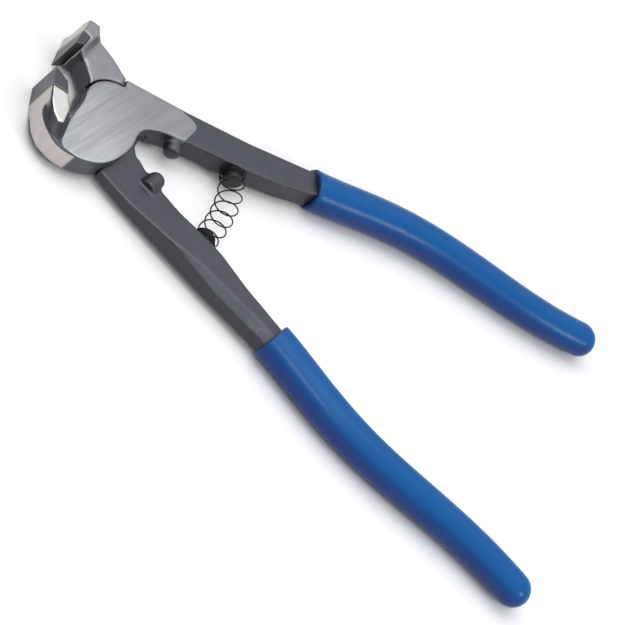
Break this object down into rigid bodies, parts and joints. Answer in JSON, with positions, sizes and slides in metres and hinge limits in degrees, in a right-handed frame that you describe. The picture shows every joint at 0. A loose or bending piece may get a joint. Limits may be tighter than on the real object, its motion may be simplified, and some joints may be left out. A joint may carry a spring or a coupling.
{
  "type": "tile nippers",
  "caption": "Hand tile nippers with two lap-jointed forged arms, carbide-tipped curved jaws, a return spring and dipped vinyl grips, shown open.",
  "frame": {"origin": "middle of the open tool, on the lap plane between the two arms; the pivot is 81.6 mm from it along +Y", "axes": "+Z parallel to the pivot axis, towards the ground face of the front arm, +Y towards the jaws, +X towards the front arm's handle"},
  "size_m": [0.1276, 0.2142, 0.0134],
  "materials": {
    "front_steel": "ground bright on the lap face, black oxide on the handle",
    "black_forging": "satin black oxide over a drop forging",
    "carbide": "ground dark grey tungsten carbide",
    "braze": "silver braze",
    "spring_wire": "black drawn wire",
    "stud_steel": "black oxide",
    "vinyl": "glossy dipped vinyl, blue"
  },
  "bodies": {
    "front_half": {"front_arm": "front_steel", "pivot_rivet": "front_steel", "front_carbide_tip": "carbide", "front_braze_shim": "braze", "front_spring_stud": "stud_steel", "return_spring": "spring_wire", "front_grip": "vinyl"},
    "rear_half": {"rear_arm": "black_forging", "rear_carbide_tip": "carbide", "rear_braze_shim": "braze", "rear_spring_stud": "stud_steel", "rear_grip": "vinyl"}
  },
  "joints": [
    {"name": "pivot", "type": "hinge", "parent": "front_half", "child": "rear_half", "pos_m": [0, 0.0816, 0], "axis": [0, 0, 1], "range_deg": [0, 30.5], "stiffness_Nm_per_rad": 0.6, "deforming": ["return_spring"]}
  ]
}
